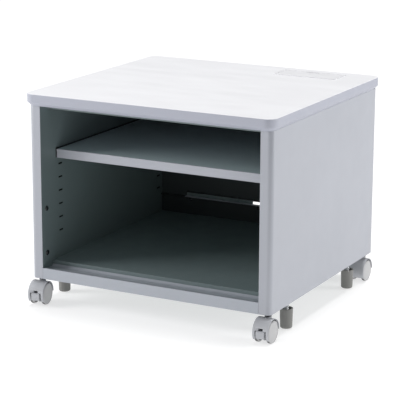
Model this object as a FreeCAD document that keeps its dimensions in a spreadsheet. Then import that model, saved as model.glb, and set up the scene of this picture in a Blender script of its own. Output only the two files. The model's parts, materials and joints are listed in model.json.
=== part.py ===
import FreeCAD, Part
import os
import Sketcher

# Mobile printer stand: a two-skin steel cabinet with a top board, one shelf on clips,
# four twin-wheel casters (the front pair braked) and four levelling feet.
# Frame: +Z up, +X to the right, -Y to the front; the origin is on the floor
# under the centre of the cabinet. Lengths are millimetres.

os.makedirs("parts", exist_ok=True)
doc = FreeCAD.newDocument("mobile_printer_stand")

SIZES = [
    ("Cabinet", [
        ("body_width", 480),
        ("body_depth", 450),
        ("body_base", 50),
        ("body_height", 320),
        ("stile_width", 22.5),
        ("skin", 1),
        ("corner_radius", 9),
        ("rear_corner_radius", 3),
        ("liner_skin", 0.8),
        ("liner_return", 12),
        ("fit_gap", 0.3),
        ("cut_margin", 1),
    ]),
    ("Top board", [
        ("top_thickness", 22),
        ("top_side_overhang", 6),
        ("top_end_overhang", 10),
        ("top_corner_radius", 20),
        ("top_edge_round", 2),
        ("top_chamfer", 6.5),
    ]),
    ("Cable slot in the top board", [
        ("cable_left", 62.5),
        ("cable_width", 118),
        ("cable_front", 160),
        ("cable_depth", 45),
        ("cable_wall", 1.6),
        ("cable_lip", 3),
        ("cable_lip_height", 1.2),
        ("cable_recess", 1),
        ("cable_corner", 4),
        ("cable_clearance", 0.2),
        ("cover_ledge", 1.5),
        ("cover_drop", 2.6),
        ("cover_thickness", 2),
        ("cover_clearance", 0.3),
        ("cover_round", 0.6),
        ("cover_notch_width", 22),
        ("cover_notch_depth", 8),
        ("cover_notch_corner", 2),
    ]),
    ("Rails and floor", [
        ("rail_height", 20.7),
        ("rail_depth", 33.8),
        ("tray_rise", 27.7),
        ("tray_fold", 20),
        ("tray_setback", 34),
        ("back_face", 221.5),
        ("pivot_hole_radius", 2.5),
        ("pivot_inset", 9),
        ("pivot_setback", 6.4),
        ("top_rail_setback", 25),
        ("top_rail_depth", 30),
        ("top_rail_drop", 9),
        ("rear_rail_depth", 13),
    ]),
    ("Back panel and its cable gap", [
        ("back_rise", 64),
        ("back_fold", 2.5),
        ("back_lip", 8),
        ("gap_half_width", 162),
        ("gap_height", 11),
        ("gap_way_half", 13),
        ("strip_thickness", 1.2),
        ("tab_drop", 3.5),
        ("tab_rise", 7),
        ("cover_rise", 5.8),
        ("cover_height", 9),
    ]),
    ("Base channels", [
        ("channel_wall", 2),
        ("channel_height", 18),
        ("channel_inset", 1.1),
        ("channel_end_inset", 8.2),
        ("stem_inset", 11.5),
        ("stem_setback", 16),
        ("foot_setback", 90),
        ("thread_radius", 4),
        ("thread_hole", 4.2),
        ("nut_bore", 4.05),
        ("nut_corner_radius", 7.5),
        ("nut_height", 6.5),
    ]),
    ("Shelf and its clips", [
        ("shelf_rise", 232.7),
        ("shelf_thickness", 16.3),
        ("shelf_setback", 50),
        ("shelf_rear", 213),
        ("shelf_side_gap", 1.5),
        ("trim_thickness", 1.5),
        ("stiffener_width", 40),
        ("stiffener_drop", 10),
        ("stiffener_end_gap", 12),
        ("slot_front_setback", 65),
        ("slot_rear", 206),
        ("slot_first_rise", 78),
        ("slot_pitch", 25),
        ("slot_count", 7),
        ("slot_length", 13),
        ("slot_height", 3.2),
        ("clip_row", 6),
        ("clip_width", 10),
        ("clip_thickness", 2),
        ("clip_reach", 14),
        ("clip_plate", 1.1),
        ("clip_hook", 3),
        ("clip_leg", 6),
        ("notch_width", 12),
    ]),
    ("Screws", [
        ("liner_screw_setback", 16.5),
        ("liner_screw_low", 46),
        ("liner_screw_high", 129),
        ("dome_radius", 5),
        ("dome_height", 2.6),
        ("screw_radius", 2),
        ("screw_length", 12),
        ("screw_clearance", 0.05),
        ("rail_screw_drop", 6),
        ("rail_screw_far", 152),
        ("back_screw_length", 3.4),
        ("back_screw_radius", 3.5),
        ("back_screw_height", 1.8),
        ("top_screw_spread", 180),
    ]),
    ("Casters", [
        ("trail", 9),
        ("wheel_radius", 20),
        ("wheel_inner", 7.6),
        ("wheel_outer", 15.4),
        ("wheel_round", 2.5),
        ("hood_radius", 22.5),
        ("hood_lift", 1.3),
        ("hood_half_width", 15.2),
        ("hood_round", 0.6),
        ("hood_cavity_radius", 21.5),
        ("web_half_width", 7.2),
        ("hood_low", 9),
        ("hood_past", 30),
        ("hood_rear_edge", 16),
        ("hood_web_edge", 7),
        ("axle_radius", 2.5),
        ("axle_half_length", 13.4),
        ("axle_bore", 2.55),
        ("pin_radius", 3.5),
        ("pin_bore", 3.55),
        ("pin_low", 27),
        ("boss_radius", 6.2),
        ("boss_low", 24),
        ("boss_high", 44.6),
        ("collar_radius", 6),
        ("collar_low", 45),
        ("stem_top", 66),
        ("front_left_yaw", 7),
    ]),
    ("Brake levers", [
        ("lever_half_width", 4),
        ("lever_pad_half_width", 8),
        ("lever_slot_half_width", 4.3),
        ("lever_recess_half_width", 10.4),
        ("lever_pivot_forward", 12),
        ("lever_pivot_rise", 21.5),
        ("lever_slot_high", 30),
        ("lever_recess_back", 17),
        ("lever_recess_high", 25.8),
        ("lever_reach", 12),
        ("lever_top", 25.3),
        ("lever_low", 11.6),
        ("lever_thickness", 5.6),
        ("lever_pad_thickness", 3.4),
        ("lever_heel", 2.4),
        ("lever_nose_round", 3),
        ("lever_edge_round", 0.8),
        ("lever_pin_radius", 1.25),
        ("lever_pin_half_length", 7),
        ("lever_bore", 1.3),
        ("lever_hub_radius", 3),
    ]),
    ("Levelling feet", [
        ("cup_low", 2),
        ("cup_height", 36),
        ("cup_top_radius", 11.65),
        ("cup_foot_radius", 10.75),
        ("cup_wall", 2.2),
        ("cup_floor", 8),
        ("cup_round", 3),
        ("cup_bore", 4.05),
        ("stud_low", 5),
        ("stud_top", 70),
        ("stud_bore_low", 4.8),
    ]),
]

dims = doc.addObject("Spreadsheet::Sheet", "dims")


def fill_sheet():
    """Write each driving dimension as text in column B, and name its cell."""
    row = 1
    for group, sizes in SIZES:
        dims.set(f"A{row}", group)
        row += 1
        for alias, size in sizes:
            dims.set(f"A{row}", alias.replace("_", " "))
            dims.set(f"B{row}", str(size))
            dims.setAlias(f"B{row}", alias)
            row += 1
    doc.recompute()


fill_sheet()

# Positions that several sub-parts share, as expressions of the sheet.
HALF_OPENING = "(dims.body_width / 2 - dims.stile_width)"
FRONT = "(-dims.body_depth / 2)"
REAR = "(dims.body_depth / 2)"
BASE = "dims.body_base"
BODY_TOP = "(dims.body_base + dims.body_height)"
FLOOR_TOP = "(dims.body_base + dims.tray_rise)"
RAIL_TOP = "(dims.body_base + dims.rail_height)"
BACK_LOW = "(dims.body_base + dims.back_rise)"
SHELF_TOP = "(dims.body_base + dims.shelf_rise)"
SHELF_LOW = "(dims.body_base + dims.shelf_rise - dims.shelf_thickness)"
SHELF_HALF = f"({HALF_OPENING} - dims.shelf_side_gap)"
FIT_HALF = f"({HALF_OPENING} - dims.fit_gap)"
STEM_X = "(dims.body_width / 2 - dims.stem_inset)"
STEM_Y = "(dims.body_depth / 2 - dims.stem_setback)"
FOOT_Y = "(dims.body_depth / 2 - dims.foot_setback)"
CLIP_RISE = "(dims.body_base + dims.slot_first_rise + dims.clip_row * dims.slot_pitch)"
SLOT_FRONT = "(-dims.body_depth / 2 + dims.slot_front_setback)"
LINER_SCREW_Y = "(-dims.body_depth / 2 + dims.liner_screw_setback)"
RAIL_SCREW_Z = f"({BACK_LOW} - dims.rail_screw_drop)"
TOP_SCREW_FRONT = "(-dims.body_depth / 2 + dims.top_rail_setback + dims.top_rail_depth / 2)"
TOP_SCREW_REAR = "(dims.back_face - dims.rear_rail_depth / 2)"

sub_parts = []


def keep(item, name):
    """Register a finished sub-part under the name of its node."""
    item.Label = name
    sub_parts.append(item)
    return item


def place(item, x, y, z, yaw="0"):
    """Bind an object's place, and its turn about +Z, to the sheet."""
    item.Placement = FreeCAD.Placement(FreeCAD.Vector(), FreeCAD.Vector(0, 0, 1), 0)
    item.setExpression("Placement.Base.x", x)
    item.setExpression("Placement.Base.y", y)
    item.setExpression("Placement.Base.z", z)
    if yaw != "0":
        item.setExpression("Placement.Rotation.Angle", yaw)


# ---- sketches -------------------------------------------------------------------

def new_sketch(body, role, name, offset="0"):
    """A sketch on one of the body's own origin planes, moved along its normal."""
    sketch = body.newObject("Sketcher::SketchObject", name)
    for plane in body.Origin.OriginFeatures:
        if plane.Role == role:
            sketch.AttachmentSupport = [(plane, "")]
    sketch.MapMode = "FlatFace"
    sketch.setExpression("AttachmentOffset.Base.z", offset)
    return sketch


def bind(sketch, kind, places, expression):
    """Add one dimension to the sketch and bind it to the sheet."""
    number = sketch.addConstraint(Sketcher.Constraint(kind, *places, 1.0))
    label = f"size_{number}"
    sketch.renameConstraint(number, label)
    sketch.setExpression(f"Constraints.{label}", expression)


def polygon(sketch, points):
    """A closed outline with every corner bound to the sheet."""
    first = sketch.GeometryCount
    count = len(points)
    for number in range(count):
        start = FreeCAD.Vector(number, number * number, 0)
        end = FreeCAD.Vector(number + 1, (number + 1) * (number + 1), 0)
        sketch.addGeometry(Part.LineSegment(start, end))
    for number in range(count):
        following = first + (number + 1) % count
        joint = Sketcher.Constraint("Coincident", first + number, 2, following, 1)
        sketch.addConstraint(joint)
    for number, (across, up) in enumerate(points):
        bind(sketch, "DistanceX", (-1, 1, first + number, 1), across)
        bind(sketch, "DistanceY", (-1, 1, first + number, 1), up)


def rectangle(sketch, across, up):
    """A rectangle between two positions across and two positions up."""
    left, right = across
    low, high = up
    polygon(sketch, [(left, low), (right, low), (right, high), (left, high)])


def circle(sketch, across, up, radius):
    """A circle with its centre and radius bound to the sheet."""
    ring = Part.Circle(FreeCAD.Vector(), FreeCAD.Vector(0, 0, 1), 5)
    number = sketch.addGeometry(ring)
    bind(sketch, "DistanceX", (-1, 1, number, 3), across)
    bind(sketch, "DistanceY", (-1, 1, number, 3), up)
    bind(sketch, "Radius", (number,), radius)


# ---- features -------------------------------------------------------------------

def new_body(name, x="0", y="0", z="0", yaw="0"):
    """A PartDesign body at its place in the stand."""
    body = doc.addObject("PartDesign::Body", name)
    place(body, x, y, z, yaw)
    return keep(body, name)


def pad(body, sketch, length, midplane=False):
    """Raise a sketch by a length from the sheet."""
    block = body.newObject("PartDesign::Pad", sketch.Name + "_pad")
    block.Profile = sketch
    block.setExpression("Length", length)
    block.Midplane = midplane
    doc.recompute()
    return block


def pocket(body, sketch, depth, reverse=False, midplane=False):
    """Cut a sketch out of the body, and make sure that it did cut."""
    before = body.Shape.Volume
    cut = body.newObject("PartDesign::Pocket", sketch.Name + "_cut")
    cut.Profile = sketch
    cut.setExpression("Length", depth)
    cut.Reversed = reverse
    cut.Midplane = midplane
    doc.recompute()
    if body.Shape.Volume > before - 0.01:
        raise RuntimeError(f"{cut.Name} cuts nothing")
    return cut


def edge_names(shape, wanted):
    """Names of the edges whose middle and direction satisfy a test."""
    names = []
    for number, edge in enumerate(shape.Edges, start=1):
        middle = edge.valueAt((edge.FirstParameter + edge.LastParameter) / 2)
        along = edge.tangentAt((edge.FirstParameter + edge.LastParameter) / 2)
        if wanted(middle, along):
            names.append(f"Edge{number}")
    return names


def round_edges(body, kind, wanted, radius):
    """Fillet or chamfer the edges of the body that satisfy a test."""
    base = body.Tip
    dress = body.newObject(f"PartDesign::{kind}", f"{body.Name}_{kind.lower()}")
    dress.Base = (base, edge_names(base.Shape, wanted))
    size = "Radius" if kind == "Fillet" else "Size"
    dress.setExpression(size, radius)
    doc.recompute()
    return dress


def shell(body, open_sides, wall):
    """Hollow a block into folded sheet, leaving the named sides open."""
    ways = {
        "left": FreeCAD.Vector(-1, 0, 0),
        "right": FreeCAD.Vector(1, 0, 0),
        "front": FreeCAD.Vector(0, -1, 0),
        "back": FreeCAD.Vector(0, 1, 0),
        "bottom": FreeCAD.Vector(0, 0, -1),
        "top": FreeCAD.Vector(0, 0, 1),
    }
    base = body.Tip
    names = []
    for number, face in enumerate(base.Shape.Faces, start=1):
        outward = face.normalAt(0, 0)
        if any(outward.dot(ways[side]) > 0.999 for side in open_sides):
            names.append(f"Face{number}")
    skin = body.newObject("PartDesign::Thickness", body.Name + "_skin")
    skin.Base = (base, names)
    skin.setExpression("Value", wall)
    skin.Reversed = True
    skin.Join = 1
    doc.recompute()
    return skin


def block(name, across, deep, high):
    """A solid rectangular body between pairs of expressions along X, Y and Z."""
    body = new_body(name, z=high[0])
    sketch = new_sketch(body, "XY_Plane", name + "_plan")
    rectangle(sketch, across, deep)
    pad(body, sketch, f"{high[1]} - {high[0]}")
    return body


def folded_box(name, across, deep, high, wall, open_sides):
    """A block folded from sheet, open on the named sides."""
    body = block(name, across, deep, high)
    shell(body, open_sides, wall)
    return body


def mirrored(across, side):
    """Swap a pair of right-hand positions to the left when side is 'left'."""
    if side == "right":
        return across
    return (f"(-{across[1]})", f"(-{across[0]})")


# ---- cabinet --------------------------------------------------------------------

def make_top_board():
    """Board with round corners, a chamfered under-edge and a stepped cable slot."""
    half_x = "(dims.body_width / 2 + dims.top_side_overhang)"
    half_y = "(dims.body_depth / 2 + dims.top_end_overhang)"
    top = f"({BODY_TOP} + dims.top_thickness)"
    body = block("top_board", (f"(-{half_x})", half_x), (f"(-{half_y})", half_y), (BODY_TOP, top))
    thick = float(dims.get("top_thickness"))
    round_edges(body, "Fillet", lambda middle, along: abs(along.z) > 0.9, "dims.top_corner_radius")
    round_edges(body, "Chamfer", lambda middle, along: middle.z < 0.01, "dims.top_chamfer")
    round_edges(body, "Fillet", lambda middle, along: middle.z > thick - 0.01, "dims.top_edge_round")
    grow = "(dims.cable_wall + dims.cable_clearance)"
    slot = new_sketch(body, "XY_Plane", "top_board_slot", "dims.top_thickness")
    across = (f"dims.cable_left - {grow}", f"dims.cable_left + dims.cable_width + {grow}")
    deep = (f"dims.cable_front - {grow}", f"dims.cable_front + dims.cable_depth + {grow}")
    rectangle(slot, across, deep)
    pocket(body, slot, "dims.top_thickness")
    grow = "(dims.cable_wall + dims.cable_lip + dims.cable_clearance)"
    recess = new_sketch(body, "XY_Plane", "top_board_recess", "dims.top_thickness")
    across = (f"dims.cable_left - {grow}", f"dims.cable_left + dims.cable_width + {grow}")
    deep = (f"dims.cable_front - {grow}", f"dims.cable_front + dims.cable_depth + {grow}")
    rectangle(recess, across, deep)
    pocket(body, recess, "dims.cable_recess")
    recess_low = thick - float(dims.get("cable_recess"))
    round_edges(
        body, "Fillet",
        lambda middle, along: middle.z > recess_low and abs(along.z) > 0.9,
        "dims.cable_corner",
    )
    holes = new_sketch(body, "XY_Plane", "top_board_pilot_holes")
    for x in ("(-dims.top_screw_spread)", "0", "dims.top_screw_spread"):
        for y in (TOP_SCREW_FRONT, TOP_SCREW_REAR):
            circle(holes, x, y, "dims.screw_radius + dims.screw_clearance")
    pocket(body, holes, "dims.screw_length", reverse=True)


def make_cable_slot_frame():
    """Sleeve that lines the slot in the top board, with a ledge for the slot's cover."""
    body = new_body("cable_slot_frame", z=BODY_TOP)
    sleeve = new_sketch(body, "XY_Plane", "cable_slot_sleeve")
    wall = "dims.cable_wall"
    far_x = "dims.cable_left + dims.cable_width"
    far_y = "dims.cable_front + dims.cable_depth"
    across = (f"dims.cable_left - {wall}", f"{far_x} + {wall}")
    deep = (f"dims.cable_front - {wall}", f"{far_y} + {wall}")
    rectangle(sleeve, across, deep)
    pad(body, sleeve, "dims.top_thickness")
    lip = new_sketch(body, "XY_Plane", "cable_slot_lip", "dims.top_thickness - dims.cable_recess")
    reach = "(dims.cable_wall + dims.cable_lip)"
    across = (f"dims.cable_left - {reach}", f"{far_x} + {reach}")
    deep = (f"dims.cable_front - {reach}", f"{far_y} + {reach}")
    rectangle(lip, across, deep)
    pad(body, lip, "dims.cable_recess + dims.cable_lip_height")
    lip_low = float(dims.get("top_thickness")) - float(dims.get("cable_recess"))
    lip_top = float(dims.get("top_thickness")) + float(dims.get("cable_lip_height"))
    round_edges(
        body, "Fillet",
        lambda middle, along: middle.z > lip_low and abs(along.z) > 0.9,
        "dims.cable_corner",
    )
    seat = new_sketch(body, "XY_Plane", "cable_slot_seat", "dims.top_thickness + dims.cable_lip_height")
    rectangle(seat, ("dims.cable_left", far_x), ("dims.cable_front", far_y))
    pocket(body, seat, "dims.cover_drop")
    hole = new_sketch(body, "XY_Plane", "cable_slot_hole", "dims.top_thickness + dims.cable_lip_height")
    across = ("dims.cable_left + dims.cover_ledge", f"{far_x} - dims.cover_ledge")
    deep = ("dims.cable_front + dims.cover_ledge", f"{far_y} - dims.cover_ledge")
    rectangle(hole, across, deep)
    pocket(body, hole, "dims.top_thickness + dims.cable_lip_height")
    round_edges(
        body, "Fillet",
        lambda middle, along: middle.z > lip_top - 0.01,
        "dims.cable_lip_height / 2",
    )


def make_cable_slot_cover():
    """Loose plate on the sleeve's ledge, with a notch for cords in its rear edge."""
    low = "(dims.top_thickness + dims.cable_lip_height - dims.cover_drop)"
    body = new_body("cable_slot_cover", z=f"{BODY_TOP} + {low}")
    plate = new_sketch(body, "XY_Plane", "cable_cover_plate")
    left = "(dims.cable_left + dims.cover_clearance)"
    right = "(dims.cable_left + dims.cable_width - dims.cover_clearance)"
    front = "(dims.cable_front + dims.cover_clearance)"
    back = "(dims.cable_front + dims.cable_depth - dims.cover_clearance)"
    rectangle(plate, (left, right), (front, back))
    pad(body, plate, "dims.cover_thickness")
    notch = new_sketch(body, "XY_Plane", "cable_cover_notch", "dims.cover_thickness")
    middle = "(dims.cable_left + dims.cable_width / 2)"
    across = (f"{middle} - dims.cover_notch_width / 2", f"{middle} + dims.cover_notch_width / 2")
    rectangle(notch, across, (f"{back} - dims.cover_notch_depth", f"{back} + dims.cut_margin"))
    pocket(body, notch, "dims.cover_thickness")
    middle_x = float(dims.get("cable_left")) + float(dims.get("cable_width")) / 2
    back_y = float(dims.get("cable_front")) + float(dims.get("cable_depth"))
    reach = float(dims.get("cover_notch_width"))

    def notch_corner(edge, along):
        return abs(along.z) > 0.9 and abs(edge.x - middle_x) < reach and edge.y < back_y - 1

    round_edges(body, "Fillet", notch_corner, "dims.cover_notch_corner")
    top = float(dims.get("cover_thickness"))
    round_edges(body, "Fillet", lambda edge, along: edge.z > top - 0.01, "dims.cover_round")


def make_outer_panel(side):
    """Outer skin: front stile, rounded corner, side and rear return in one sheet."""
    across = mirrored((HALF_OPENING, "(dims.body_width / 2)"), side)
    body = block(f"{side}_outer_panel", across, (FRONT, REAR), (BASE, BODY_TOP))
    half = float(dims.get("body_width")) / 2

    def outer_front(middle, along):
        return abs(along.z) > 0.9 and abs(middle.x) > half - 0.01 and middle.y < 0

    def outer_rear(middle, along):
        return abs(along.z) > 0.9 and abs(middle.x) > half - 0.01 and middle.y > 0

    round_edges(body, "Fillet", outer_front, "dims.corner_radius")
    round_edges(body, "Fillet", outer_rear, "dims.rear_corner_radius")
    inner_side = "left" if side == "right" else "right"
    shell(body, ("top", "bottom", inner_side), "dims.skin")


def make_inner_panel(side):
    """Dark liner with two columns of shelf slots and the holes of its two screws."""
    across = mirrored((HALF_OPENING, f"({HALF_OPENING} + dims.liner_return)"), side)
    deep = (f"({FRONT} + dims.skin)", f"({REAR} - dims.skin)")
    outer_side = side
    name = f"{side}_inner_panel"
    high = (BASE, BODY_TOP)
    body = folded_box(name, across, deep, high, "dims.liner_skin", ("top", "bottom", outer_side))
    past = f"({HALF_OPENING} + 2 * dims.liner_skin)"
    plane = past if side == "right" else f"(2 * dims.liner_skin - {past})"
    depth = "3 * dims.liner_skin"
    slots = new_sketch(body, "YZ_Plane", name + "_slots", plane)
    half = "dims.slot_length / 2"
    low = "dims.slot_first_rise - dims.slot_height / 2"
    high = "dims.slot_first_rise + dims.slot_height / 2"
    for middle in (SLOT_FRONT, "dims.slot_rear"):
        rectangle(slots, (f"{middle} - {half}", f"{middle} + {half}"), (low, high))
    cut = pocket(body, slots, depth)
    row = body.newObject("PartDesign::LinearPattern", name + "_slot_rows")
    row.Originals = [cut]
    row.Direction = (slots, ["V_Axis"])
    row.setExpression("Length", "dims.slot_pitch * (dims.slot_count - 1)")
    row.setExpression("Occurrences", "dims.slot_count")
    body.Tip = row
    doc.recompute()
    holes = new_sketch(body, "YZ_Plane", name + "_screw_holes", plane)
    for rise in ("dims.liner_screw_low", "dims.liner_screw_high"):
        circle(holes, LINER_SCREW_Y, rise, "dims.screw_radius + dims.screw_clearance")
    pocket(body, holes, depth)


def make_back_panel():
    """Back sheet, folded rearward all round, with a gap above the lower rail.

    A strip edges the rail. Two tabs stand up from the rail and a cover hangs behind
    them, so only a low way out is left at the middle.
    """
    across = (f"(-{FIT_HALF})", FIT_HALF)
    deep = ("dims.back_face", "(dims.back_face + dims.back_fold)")
    low = f"({BACK_LOW} + dims.fit_gap)"
    body = folded_box("back_panel", across, deep, (low, BODY_TOP), "dims.skin", ("back",))
    notch = new_sketch(body, "XZ_Plane", "back_panel_notch", "-dims.back_face + dims.cut_margin")
    high = "(dims.gap_height - dims.fit_gap)"
    rectangle(notch, ("-dims.gap_half_width", "dims.gap_half_width"), ("-dims.cut_margin", high))
    pocket(body, notch, "dims.back_fold + 2 * dims.cut_margin")
    gap_end = "(dims.gap_half_width - dims.fit_gap)"
    behind = "(dims.back_face + dims.skin)"
    tab_back = f"({behind} + dims.strip_thickness)"
    tabs = []
    for side in ("left", "right"):
        tabs.append(box(
            f"{side}_gap_tab", mirrored(("dims.gap_way_half", gap_end), side), (behind, tab_back),
            (f"({BACK_LOW} - dims.tab_drop)", f"({BACK_LOW} + dims.tab_rise)"),
        ))
    group("back_gap_tabs", tabs)
    group("back_gap_cover", [box(
        "gap_cover_strip", (f"(-{gap_end})", gap_end), (tab_back, f"({tab_back} + dims.strip_thickness)"),
        (f"({BACK_LOW} + dims.cover_rise)", f"({BACK_LOW} + dims.cover_rise + dims.cover_height)"),
    )])
    lip_front = "(dims.back_face + dims.skin - dims.back_lip)"
    group("back_gap_edging", [box(
        "gap_edging_strip", (f"(-{gap_end})", gap_end), (lip_front, "(dims.back_face - dims.fit_gap)"),
        (BACK_LOW, f"({BACK_LOW} + dims.strip_thickness)"),
    )])


def make_rails_and_floor():
    """Front rail, floor tray, lower back rail, and a channel and an angle under the top."""
    across = (f"(-{FIT_HALF})", FIT_HALF)
    ends = ("left", "right")
    rail_back = f"({FRONT} + dims.rail_depth)"
    rail = folded_box(
        "front_rail", across, (FRONT, rail_back), (BASE, RAIL_TOP), "dims.skin", ends + ("back",)
    )
    holes = new_sketch(rail, "XY_Plane", "front_rail_pivot_holes", "dims.rail_height")
    for x in (f"dims.pivot_inset - {HALF_OPENING}", f"{HALF_OPENING} - dims.pivot_inset"):
        circle(holes, x, f"{FRONT} + dims.pivot_setback", "dims.pivot_hole_radius")
    pocket(rail, holes, "2 * dims.skin")
    tray_front = f"({FRONT} + dims.tray_setback)"
    tray_low = f"({FLOOR_TOP} - dims.tray_fold)"
    folded_box(
        "bottom_tray", across, (tray_front, "dims.back_face"),
        (tray_low, FLOOR_TOP), "dims.skin", ("bottom",),
    )
    lip_front = "(dims.back_face + dims.skin - dims.back_lip)"
    rail = folded_box(
        "back_lower_rail", across, (lip_front, "(dims.back_face + dims.skin)"),
        (FLOOR_TOP, BACK_LOW), "dims.skin", ends + ("front", "bottom"),
    )
    holes = new_sketch(rail, "XZ_Plane", "back_rail_screw_holes", "-dims.back_face + dims.cut_margin")
    for x in ("-dims.rail_screw_far", "0", "dims.rail_screw_far"):
        circle(holes, x, f"{RAIL_SCREW_Z} - {FLOOR_TOP}", "dims.screw_radius + dims.screw_clearance")
    pocket(rail, holes, "dims.skin + 2 * dims.cut_margin")
    drop = (f"({BODY_TOP} - dims.top_rail_drop)", BODY_TOP)
    front_rail_y = f"({FRONT} + dims.top_rail_setback)"
    rear_rail_y = "(dims.back_face - dims.rear_rail_depth)"
    spans = {
        "top_front_rail": (front_rail_y, f"({front_rail_y} + dims.top_rail_depth)"),
        "top_rear_rail": (rear_rail_y, "dims.back_face"),
    }
    for name, deep in spans.items():
        open_sides = ends + (("bottom",) if name == "top_front_rail" else ("bottom", "front"))
        rail = folded_box(name, across, deep, drop, "dims.skin", open_sides)
        holes = new_sketch(rail, "XY_Plane", name + "_holes", "dims.top_rail_drop")
        y = TOP_SCREW_FRONT if name == "top_front_rail" else TOP_SCREW_REAR
        for x in ("(-dims.top_screw_spread)", "0", "dims.top_screw_spread"):
            circle(holes, x, y, "dims.screw_radius + dims.screw_clearance")
        pocket(rail, holes, "2 * dims.skin")


def make_base_channel(side):
    """Steel channel inside the double wall that carries the casters and feet."""
    across = mirrored(
        (f"({HALF_OPENING} + dims.channel_inset)", "(dims.body_width / 2 - dims.channel_inset)"), side
    )
    deep = (f"({FRONT} + dims.channel_end_inset)", f"({REAR} - dims.channel_end_inset)")
    name = f"{side}_base_channel"
    high = (BASE, "(dims.body_base + dims.channel_height)")
    body = folded_box(name, across, deep, high, "dims.channel_wall", ("top", "front", "back"))
    holes = new_sketch(body, "XY_Plane", name + "_holes")
    x = STEM_X if side == "right" else f"(-{STEM_X})"
    for y in (STEM_Y, f"(-{STEM_Y})", FOOT_Y, f"(-{FOOT_Y})"):
        circle(holes, x, y, "dims.thread_hole")
    pocket(body, holes, "dims.channel_wall", reverse=True)


# ---- shelf ----------------------------------------------------------------------

def make_shelf():
    """Folded shelf with notches for its clips, a front trim and a stiffener."""
    front = f"({FRONT} + dims.shelf_setback + dims.trim_thickness)"
    across = (f"(-{SHELF_HALF})", SHELF_HALF)
    panel = folded_box(
        "shelf_panel", across, (front, "dims.shelf_rear"),
        (SHELF_LOW, SHELF_TOP), "dims.skin", ("bottom",),
    )
    reach = f"({SHELF_HALF} - dims.skin - dims.cut_margin)"
    past = f"({SHELF_HALF} + dims.cut_margin)"
    for number, middle in enumerate((SLOT_FRONT, "dims.slot_rear")):
        notch = new_sketch(panel, "XY_Plane", f"shelf_notch_{number}")
        deep = (f"{middle} - dims.notch_width / 2", f"{middle} + dims.notch_width / 2")
        rectangle(notch, (reach, past), deep)
        rectangle(notch, (f"(-{past})", f"(-{reach})"), deep)
        pocket(panel, notch, "dims.shelf_thickness - dims.skin", reverse=True)
    trim = block(
        "shelf_front_trim", across, (f"({FRONT} + dims.shelf_setback)", front), (SHELF_LOW, SHELF_TOP)
    )
    front_face = -float(dims.get("body_depth")) / 2 + float(dims.get("shelf_setback"))
    round_edges(
        trim, "Fillet",
        lambda middle, along: abs(along.x) > 0.9 and middle.y < front_face + 0.01,
        "dims.trim_thickness / 2",
    )
    half = f"({SHELF_HALF} - dims.stiffener_end_gap)"
    under = f"({SHELF_TOP} - dims.skin)"
    middle = f"(({front} + dims.shelf_rear) / 2)"
    deep = (f"({middle} - dims.stiffener_width / 2)", f"({middle} + dims.stiffener_width / 2)")
    folded_box(
        "shelf_stiffener", (f"(-{half})", half), deep,
        (f"({under} - dims.stiffener_drop)", under), "dims.skin", ("top", "left", "right"),
    )


# ---- groups of identical small pieces -------------------------------------------

def box(name, across, deep, high):
    """A Part::Box between pairs of expressions."""
    item = doc.addObject("Part::Box", name)
    item.setExpression("Length", f"{across[1]} - {across[0]}")
    item.setExpression("Width", f"{deep[1]} - {deep[0]}")
    item.setExpression("Height", f"{high[1]} - {high[0]}")
    place(item, across[0], deep[0], high[0])
    return item


def turned(kind, name, x, y, z, axis):
    """A round Part primitive standing along an axis at a bound place."""
    item = doc.addObject(kind, name)
    turn = FreeCAD.Rotation(FreeCAD.Vector(0, 0, 1), axis)
    item.Placement = FreeCAD.Placement(FreeCAD.Vector(), turn)
    item.setExpression("Placement.Base.x", x)
    item.setExpression("Placement.Base.y", y)
    item.setExpression("Placement.Base.z", z)
    return item


def rod(name, x, y, z, axis, radius, length):
    """A Part::Cylinder along an axis."""
    item = turned("Part::Cylinder", name, x, y, z, axis)
    item.setExpression("Radius", radius)
    item.setExpression("Height", length)
    return item


def fuse(name, pieces):
    """One solid from several touching primitives."""
    item = doc.addObject("Part::MultiFuse", name)
    item.Shapes = pieces
    return item


def group(name, pieces):
    """Separate solids of one kind that share a node."""
    item = doc.addObject("Part::Compound", name)
    item.Links = pieces
    return keep(item, name)


def make_shelf_clips():
    """Bent steel clips: a tongue through the slot, a leg on the liner, a support."""
    clips = []
    for side in ("right", "left"):
        for end, middle in (("front", SLOT_FRONT), ("rear", "dims.slot_rear")):
            name = f"{side}_{end}_clip"
            deep = (f"({middle} - dims.clip_width / 2)", f"({middle} + dims.clip_width / 2)")
            face = f"({HALF_OPENING} - dims.clip_plate)"
            support_top = f"({SHELF_TOP} - dims.skin)"
            tongue_low = f"({CLIP_RISE} - dims.clip_thickness / 2)"
            tongue_high = f"({CLIP_RISE} + dims.clip_thickness / 2)"
            arm = mirrored((f"({HALF_OPENING} - dims.clip_reach)", HALF_OPENING), side)
            leg = mirrored((face, HALF_OPENING), side)
            tongue = mirrored((face, f"({HALF_OPENING} + dims.clip_hook)"), side)
            support_low = f"({support_top} - dims.clip_thickness)"
            clips.append(fuse(name, [
                box(name + "_arm", arm, deep, (support_low, support_top)),
                box(name + "_leg", leg, deep, (f"({tongue_low} - dims.clip_leg)", support_top)),
                box(name + "_tongue", tongue, deep, (tongue_low, tongue_high)),
            ]))
    group("shelf_clips", clips)


def dome_screw(name, x, y, z, axis, radius, height, length):
    """A domed head on the near side of a sheet, with its shank through the sheet.

    The head is the cap of a sphere, and the place given is the centre of its flat side.
    """
    sphere = f"(({radius} * {radius} + {height} * {height}) / (2 * {height}))"
    sink = f"({sphere} - {height})"
    head = turned(
        "Part::Sphere", name + "_head",
        f"{x} - {sink} * {axis.x}", f"{y} - {sink} * {axis.y}", f"{z} - {sink} * {axis.z}", axis,
    )
    head.setExpression("Radius", sphere)
    head.setExpression("Angle1", f"asin({sink} / {sphere})")
    shank = rod(name + "_shank", x, y, z, axis * -1, "dims.screw_radius", length)
    return fuse(name, [head, shank])


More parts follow.
